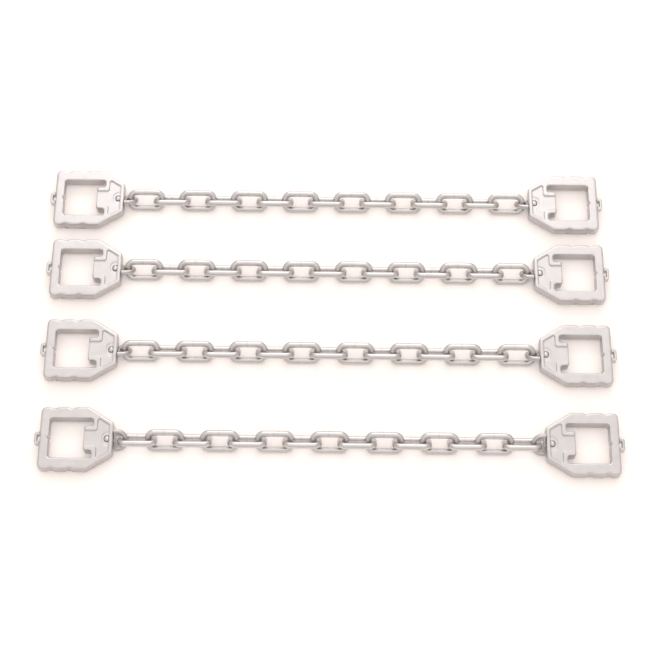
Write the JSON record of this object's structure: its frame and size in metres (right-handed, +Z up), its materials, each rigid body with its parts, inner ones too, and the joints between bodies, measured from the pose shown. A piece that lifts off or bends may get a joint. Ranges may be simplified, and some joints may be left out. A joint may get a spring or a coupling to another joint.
{
  "type": "tire snow chains",
  "caption": "Set of cross chains for a tire: D-section links between swivel eyes, each eye turning in a cast end frame with a strap window.",
  "frame": {"origin": "on the floor under the middle of the set", "axes": "+X along the chains, +Y across them, +Z up"},
  "size_m": [0.5512, 0.318, 0.0185],
  "materials": {
    "cast_frame": "satin die-cast",
    "swivel_eye": "satin zinc plated",
    "chain_link": "satin zinc plated"
  },
  "bodies": {
    "chain_1_frame_left": {"chain_1_frame_left": "cast_frame"},
    "chain_1_eye_left": {"chain_1_eye_left": "swivel_eye"},
    "chain_1_link_01": {"chain_1_link_01": "chain_link"},
    "chain_1_link_02": {"chain_1_link_02": "chain_link"},
    "chain_1_links_03_04": {"chain_1_links_03_04": "chain_link"},
    "chain_1_link_05": {"chain_1_link_05": "chain_link"},
    "chain_1_links_06_07": {"chain_1_links_06_07": "chain_link"},
    "chain_1_link_08": {"chain_1_link_08": "chain_link"},
    "chain_1_links_09_10": {"chain_1_links_09_10": "chain_link"},
    "chain_1_link_11": {"chain_1_link_11": "chain_link"},
    "chain_1_links_12_13": {"chain_1_links_12_13": "chain_link"},
    "chain_1_link_14": {"chain_1_link_14": "chain_link"},
    "chain_1_link_15": {"chain_1_link_15": "chain_link"},
    "chain_1_eye_right": {"chain_1_eye_right": "swivel_eye"},
    "chain_1_frame_right": {"chain_1_frame_right": "cast_frame"},
    "chain_2_frame_left": {"chain_2_frame_left": "cast_frame"},
    "chain_2_eye_left": {"chain_2_eye_left": "swivel_eye"},
    "chain_2_link_01": {"chain_2_link_01": "chain_link"},
    "chain_2_link_02": {"chain_2_link_02": "chain_link"},
    "chain_2_links_03_04": {"chain_2_links_03_04": "chain_link"},
    "chain_2_link_05": {"chain_2_link_05": "chain_link"},
    "chain_2_links_06_07": {"chain_2_links_06_07": "chain_link"},
    "chain_2_link_08": {"chain_2_link_08": "chain_link"},
    "chain_2_links_09_10": {"chain_2_links_09_10": "chain_link"},
    "chain_2_link_11": {"chain_2_link_11": "chain_link"},
    "chain_2_links_12_13": {"chain_2_links_12_13": "chain_link"},
    "chain_2_link_14": {"chain_2_link_14": "chain_link"},
    "chain_2_link_15": {"chain_2_link_15": "chain_link"},
    "chain_2_eye_right": {"chain_2_eye_right": "swivel_eye"},
    "chain_2_frame_right": {"chain_2_frame_right": "cast_frame"},
    "chain_3_frame_left": {"chain_3_frame_left": "cast_frame"},
    "chain_3_eye_left": {"chain_3_eye_left": "swivel_eye"},
    "chain_3_link_01": {"chain_3_link_01": "chain_link"},
    "chain_3_link_02": {"chain_3_link_02": "chain_link"},
    "chain_3_links_03_04": {"chain_3_links_03_04": "chain_link"},
    "chain_3_link_05": {"chain_3_link_05": "chain_link"},
    "chain_3_links_06_07": {"chain_3_links_06_07": "chain_link"},
    "chain_3_link_08": {"chain_3_link_08": "chain_link"},
    "chain_3_links_09_10": {"chain_3_links_09_10": "chain_link"},
    "chain_3_link_11": {"chain_3_link_11": "chain_link"},
    "chain_3_links_12_13": {"chain_3_links_12_13": "chain_link"},
    "chain_3_link_14": {"chain_3_link_14": "chain_link"},
    "chain_3_link_15": {"chain_3_link_15": "chain_link"},
    "chain_3_eye_right": {"chain_3_eye_right": "swivel_eye"},
    "chain_3_frame_right": {"chain_3_frame_right": "cast_frame"},
    "chain_4_frame_left": {"chain_4_frame_left": "cast_frame"},
    "chain_4_eye_left": {"chain_4_eye_left": "swivel_eye"},
    "chain_4_link_01": {"chain_4_link_01": "chain_link"},
    "chain_4_link_02": {"chain_4_link_02": "chain_link"},
    "chain_4_links_03_04": {"chain_4_links_03_04": "chain_link"},
    "chain_4_link_05": {"chain_4_link_05": "chain_link"},
    "chain_4_links_06_07": {"chain_4_links_06_07": "chain_link"},
    "chain_4_link_08": {"chain_4_link_08": "chain_link"},
    "chain_4_links_09_10": {"chain_4_links_09_10": "chain_link"},
    "chain_4_link_11": {"chain_4_link_11": "chain_link"},
    "chain_4_links_12_13": {"chain_4_links_12_13": "chain_link"},
    "chain_4_link_14": {"chain_4_link_14": "chain_link"},
    "chain_4_link_15": {"chain_4_link_15": "chain_link"},
    "chain_4_eye_right": {"chain_4_eye_right": "swivel_eye"},
    "chain_4_frame_right": {"chain_4_frame_right": "cast_frame"}
  },
  "joints": [
    {"name": "chain_1_crook_08_09", "type": "hinge", "parent": "chain_1_link_08", "child": "chain_1_links_09_10", "pos_m": [0.01295, 0.128, 0.00923], "axis": [0, 0.7071, -0.7071], "range_deg": [-90, 90]},
    {"name": "chain_1_crook_10_11", "type": "hinge", "parent": "chain_1_links_09_10", "child": "chain_1_link_11", "pos_m": [0.06375, 0.128, 0.00923], "axis": [0, -0.7071, 0.7071], "range_deg": [-90, 90]},
    {"name": "chain_1_crook_11_12", "type": "hinge", "parent": "chain_1_link_11", "child": "chain_1_links_12_13", "pos_m": [0.08915, 0.128, 0.00923], "axis": [0, 0.7071, 0.7071], "range_deg": [-90, 90]},
    {"name": "chain_1_crook_13_14", "type": "hinge", "parent": "chain_1_links_12_13", "child": "chain_1_link_14", "pos_m": [0.13995, 0.128, 0.00923], "axis": [0, 0.7071, 0.7071], "range_deg": [-90, 90]},
    {"name": "chain_1_crook_14_15", "type": "hinge", "parent": "chain_1_link_14", "child": "chain_1_link_15", "pos_m": [0.16535, 0.128, 0.00923], "axis": [0, 0.7071, -0.7071], "range_deg": [-90, 90]},
    {"name": "chain_1_eye_right_crook", "type": "hinge", "parent": "chain_1_link_15", "child": "chain_1_eye_right", "pos_m": [0.19075, 0.128, 0.00923], "axis": [0, -0.7071, -0.7071], "range_deg": [-60, 60]},
    {"name": "chain_1_frame_right_swivel", "type": "hinge", "parent": "chain_1_eye_right", "child": "chain_1_frame_right", "pos_m": [0.19685, 0.128, 0.00923], "axis": [1, 0, 0], "continuous": true},
    {"name": "chain_1_crook_07_08", "type": "hinge", "parent": "chain_1_link_08", "child": "chain_1_links_06_07", "pos_m": [-0.01855, 0.128, 0.00923], "axis": [0, 0.7071, -0.7071], "range_deg": [-90, 90]},
    {"name": "chain_1_crook_05_06", "type": "hinge", "parent": "chain_1_links_06_07", "child": "chain_1_link_05", "pos_m": [-0.06935, 0.128, 0.00923], "axis": [0, -0.7071, 0.7071], "range_deg": [-90, 90]},
    {"name": "chain_1_crook_04_05", "type": "hinge", "parent": "chain_1_link_05", "child": "chain_1_links_03_04", "pos_m": [-0.09475, 0.128, 0.00923], "axis": [0, 0.7071, 0.7071], "range_deg": [-90, 90]},
    {"name": "chain_1_crook_02_03", "type": "hinge", "parent": "chain_1_links_03_04", "child": "chain_1_link_02", "pos_m": [-0.14555, 0.128, 0.00923], "axis": [0, 0.7071, 0.7071], "range_deg": [-90, 90]},
    {"name": "chain_1_crook_01_02", "type": "hinge", "parent": "chain_1_link_02", "child": "chain_1_link_01", "pos_m": [-0.17095, 0.128, 0.00923], "axis": [0, 0.7071, -0.7071], "range_deg": [-90, 90]},
    {"name": "chain_1_eye_left_crook", "type": "hinge", "parent": "chain_1_link_01", "child": "chain_1_eye_left", "pos_m": [-0.19635, 0.128, 0.00923], "axis": [0, -0.7071, -0.7071], "range_deg": [-60, 60]},
    {"name": "chain_1_frame_left_swivel", "type": "hinge", "parent": "chain_1_eye_left", "child": "chain_1_frame_left", "pos_m": [-0.20245, 0.128, 0.00923], "axis": [1, 0, 0], "continuous": true},
    {"name": "chain_2_crook_08_09", "type": "hinge", "parent": "chain_2_link_08", "child": "chain_2_links_09_10", "pos_m": [0.01505, 0.05, 0.00923], "axis": [0, 0.7071, -0.7071], "range_deg": [-90, 90]},
    {"name": "chain_2_crook_10_11", "type": "hinge", "parent": "chain_2_links_09_10", "child": "chain_2_link_11", "pos_m": [0.06585, 0.05, 0.00923], "axis": [0, -0.7071, 0.7071], "range_deg": [-90, 90]},
    {"name": "chain_2_crook_11_12", "type": "hinge", "parent": "chain_2_link_11", "child": "chain_2_links_12_13", "pos_m": [0.09125, 0.05, 0.00923], "axis": [0, 0.7071, 0.7071], "range_deg": [-90, 90]},
    {"name": "chain_2_crook_13_14", "type": "hinge", "parent": "chain_2_links_12_13", "child": "chain_2_link_14", "pos_m": [0.14205, 0.05, 0.00923], "axis": [0, 0.7071, 0.7071], "range_deg": [-90, 90]},
    {"name": "chain_2_crook_14_15", "type": "hinge", "parent": "chain_2_link_14", "child": "chain_2_link_15", "pos_m": [0.16745, 0.05, 0.00923], "axis": [0, 0.7071, -0.7071], "range_deg": [-90, 90]},
    {"name": "chain_2_eye_right_crook", "type": "hinge", "parent": "chain_2_link_15", "child": "chain_2_eye_right", "pos_m": [0.19285, 0.05, 0.00923], "axis": [0, -0.7071, -0.7071], "range_deg": [-60, 60]},
    {"name": "chain_2_frame_right_swivel", "type": "hinge", "parent": "chain_2_eye_right", "child": "chain_2_frame_right", "pos_m": [0.19895, 0.05, 0.00923], "axis": [1, 0, 0], "continuous": true},
    {"name": "chain_2_crook_07_08", "type": "hinge", "parent": "chain_2_link_08", "child": "chain_2_links_06_07", "pos_m": [-0.01645, 0.05, 0.00923], "axis": [0, 0.7071, -0.7071], "range_deg": [-90, 90]},
    {"name": "chain_2_crook_05_06", "type": "hinge", "parent": "chain_2_links_06_07", "child": "chain_2_link_05", "pos_m": [-0.06725, 0.05, 0.00923], "axis": [0, -0.7071, 0.7071], "range_deg": [-90, 90]},
    {"name": "chain_2_crook_04_05", "type": "hinge", "parent": "chain_2_link_05", "child": "chain_2_links_03_04", "pos_m": [-0.09265, 0.05, 0.00923], "axis": [0, 0.7071, 0.7071], "range_deg": [-90, 90]},
    {"name": "chain_2_crook_02_03", "type": "hinge", "parent": "chain_2_links_03_04", "child": "chain_2_link_02", "pos_m": [-0.14345, 0.05, 0.00923], "axis": [0, 0.7071, 0.7071], "range_deg": [-90, 90]},
    {"name": "chain_2_crook_01_02", "type": "hinge", "parent": "chain_2_link_02", "child": "chain_2_link_01", "pos_m": [-0.16885, 0.05, 0.00923], "axis": [0, 0.7071, -0.7071], "range_deg": [-90, 90]},
    {"name": "chain_2_eye_left_crook", "type": "hinge", "parent": "chain_2_link_01", "child": "chain_2_eye_left", "pos_m": [-0.19425, 0.05, 0.00923], "axis": [0, -0.7071, -0.7071], "range_deg": [-60, 60]},
    {"name": "chain_2_frame_left_swivel", "type": "hinge", "parent": "chain_2_eye_left", "child": "chain_2_frame_left", "pos_m": [-0.20035, 0.05, 0.00923], "axis": [1, 0, 0], "continuous": true},
    {"name": "chain_3_crook_08_09", "type": "hinge", "parent": "chain_3_link_08", "child": "chain_3_links_09_10", "pos_m": [0.01675, -0.037, 0.00923], "axis": [0, 0.7071, -0.7071], "range_deg": [-90, 90]},
    {"name": "chain_3_crook_10_11", "type": "hinge", "parent": "chain_3_links_09_10", "child": "chain_3_link_11", "pos_m": [0.06755, -0.037, 0.00923], "axis": [0, -0.7071, 0.7071], "range_deg": [-90, 90]},
    {"name": "chain_3_crook_11_12", "type": "hinge", "parent": "chain_3_link_11", "child": "chain_3_links_12_13", "pos_m": [0.09295, -0.037, 0.00923], "axis": [0, 0.7071, 0.7071], "range_deg": [-90, 90]},
    {"name": "chain_3_crook_13_14", "type": "hinge", "parent": "chain_3_links_12_13", "child": "chain_3_link_14", "pos_m": [0.14375, -0.037, 0.00923], "axis": [0, 0.7071, 0.7071], "range_deg": [-90, 90]},
    {"name": "chain_3_crook_14_15", "type": "hinge", "parent": "chain_3_link_14", "child": "chain_3_link_15", "pos_m": [0.16915, -0.037, 0.00923], "axis": [0, 0.7071, -0.7071], "range_deg": [-90, 90]},
    {"name": "chain_3_eye_right_crook", "type": "hinge", "parent": "chain_3_link_15", "child": "chain_3_eye_right", "pos_m": [0.19455, -0.037, 0.00923], "axis": [0, -0.7071, -0.7071], "range_deg": [-60, 60]},
    {"name": "chain_3_frame_right_swivel", "type": "hinge", "parent": "chain_3_eye_right", "child": "chain_3_frame_right", "pos_m": [0.20065, -0.037, 0.00923], "axis": [1, 0, 0], "continuous": true},
    {"name": "chain_3_crook_07_08", "type": "hinge", "parent": "chain_3_link_08", "child": "chain_3_links_06_07", "pos_m": [-0.01475, -0.037, 0.00923], "axis": [0, 0.7071, -0.7071], "range_deg": [-90, 90]},
    {"name": "chain_3_crook_05_06", "type": "hinge", "parent": "chain_3_links_06_07", "child": "chain_3_link_05", "pos_m": [-0.06555, -0.037, 0.00923], "axis": [0, -0.7071, 0.7071], "range_deg": [-90, 90]},
    {"name": "chain_3_crook_04_05", "type": "hinge", "parent": "chain_3_link_05", "child": "chain_3_links_03_04", "pos_m": [-0.09095, -0.037, 0.00923], "axis": [0, 0.7071, 0.7071], "range_deg": [-90, 90]},
    {"name": "chain_3_crook_02_03", "type": "hinge", "parent": "chain_3_links_03_04", "child": "chain_3_link_02", "pos_m": [-0.14175, -0.037, 0.00923], "axis": [0, 0.7071, 0.7071], "range_deg": [-90, 90]},
    {"name": "chain_3_crook_01_02", "type": "hinge", "parent": "chain_3_link_02", "child": "chain_3_link_01", "pos_m": [-0.16715, -0.037, 0.00923], "axis": [0, 0.7071, -0.7071], "range_deg": [-90, 90]},
    {"name": "chain_3_eye_left_crook", "type": "hinge", "parent": "chain_3_link_01", "child": "chain_3_eye_left", "pos_m": [-0.19255, -0.037, 0.00923], "axis": [0, -0.7071, -0.7071], "range_deg": [-60, 60]},
    {"name": "chain_3_frame_left_swivel", "type": "hinge", "parent": "chain_3_eye_left", "child": "chain_3_frame_left", "pos_m": [-0.19865, -0.037, 0.00923], "axis": [1, 0, 0], "continuous": true},
    {"name": "chain_4_crook_08_09", "type": "hinge", "parent": "chain_4_link_08", "child": "chain_4_links_09_10", "pos_m": [0.01855, -0.128, 0.00923], "axis": [0, -0.7071, -0.7071], "range_deg": [-90, 90]},
    {"name": "chain_4_crook_10_11", "type": "hinge", "parent": "chain_4_links_09_10", "child": "chain_4_link_11", "pos_m": [0.06935, -0.128, 0.00923], "axis": [0, 0.7071, 0.7071], "range_deg": [-90, 90]},
    {"name": "chain_4_crook_11_12", "type": "hinge", "parent": "chain_4_link_11", "child": "chain_4_links_12_13", "pos_m": [0.09475, -0.128, 0.00923], "axis": [0, -0.7071, 0.7071], "range_deg": [-90, 90]},
    {"name": "chain_4_crook_13_14", "type": "hinge", "parent": "chain_4_links_12_13", "child": "chain_4_link_14", "pos_m": [0.14555, -0.128, 0.00923], "axis": [0, -0.7071, 0.7071], "range_deg": [-90, 90]},
    {"name": "chain_4_crook_14_15", "type": "hinge", "parent": "chain_4_link_14", "child": "chain_4_link_15", "pos_m": [0.17095, -0.128, 0.00923], "axis": [0, -0.7071, -0.7071], "range_deg": [-90, 90]},
    {"name": "chain_4_eye_right_crook", "type": "hinge", "parent": "chain_4_link_15", "child": "chain_4_eye_right", "pos_m": [0.19635, -0.128, 0.00923], "axis": [0, 0.7071, -0.7071], "range_deg": [-60, 60]},
    {"name": "chain_4_frame_right_swivel", "type": "hinge", "parent": "chain_4_eye_right", "child": "chain_4_frame_right", "pos_m": [0.20245, -0.128, 0.00923], "axis": [1, 0, 0], "continuous": true},
    {"name": "chain_4_crook_07_08", "type": "hinge", "parent": "chain_4_link_08", "child": "chain_4_links_06_07", "pos_m": [-0.01295, -0.128, 0.00923], "axis": [0, -0.7071, -0.7071], "range_deg": [-90, 90]},
    {"name": "chain_4_crook_05_06", "type": "hinge", "parent": "chain_4_links_06_07", "child": "chain_4_link_05", "pos_m": [-0.06375, -0.128, 0.00923], "axis": [0, 0.7071, 0.7071], "range_deg": [-90, 90]},
    {"name": "chain_4_crook_04_05", "type": "hinge", "parent": "chain_4_link_05", "child": "chain_4_links_03_04", "pos_m": [-0.08915, -0.128, 0.00923], "axis": [0, -0.7071, 0.7071], "range_deg": [-90, 90]},
    {"name": "chain_4_crook_02_03", "type": "hinge", "parent": "chain_4_links_03_04", "child": "chain_4_link_02", "pos_m": [-0.13995, -0.128, 0.00923], "axis": [0, -0.7071, 0.7071], "range_deg": [-90, 90]},
    {"name": "chain_4_crook_01_02", "type": "hinge", "parent": "chain_4_link_02", "child": "chain_4_link_01", "pos_m": [-0.16535, -0.128, 0.00923], "axis": [0, -0.7071, -0.7071], "range_deg": [-90, 90]},
    {"name": "chain_4_eye_left_crook", "type": "hinge", "parent": "chain_4_link_01", "child": "chain_4_eye_left", "pos_m": [-0.19075, -0.128, 0.00923], "axis": [0, 0.7071, -0.7071], "range_deg": [-60, 60]},
    {"name": "chain_4_frame_left_swivel", "type": "hinge", "parent": "chain_4_eye_left", "child": "chain_4_frame_left", "pos_m": [-0.19685, -0.128, 0.00923], "axis": [1, 0, 0], "continuous": true},
    {"name": "chain_2_lift", "type": "slide", "parent": "chain_1_link_08", "child": "chain_2_link_08", "axis": [0, 0, 1], "range_m": [0, 0.15]},
    {"name": "chain_3_lift", "type": "slide", "parent": "chain_1_link_08", "child": "chain_3_link_08", "axis": [0, 0, 1], "range_m": [0, 0.15]},
    {"name": "chain_4_lift", "type": "slide", "parent": "chain_1_link_08", "child": "chain_4_link_08", "axis": [0, 0, 1], "range_m": [0, 0.15]}
  ]
}
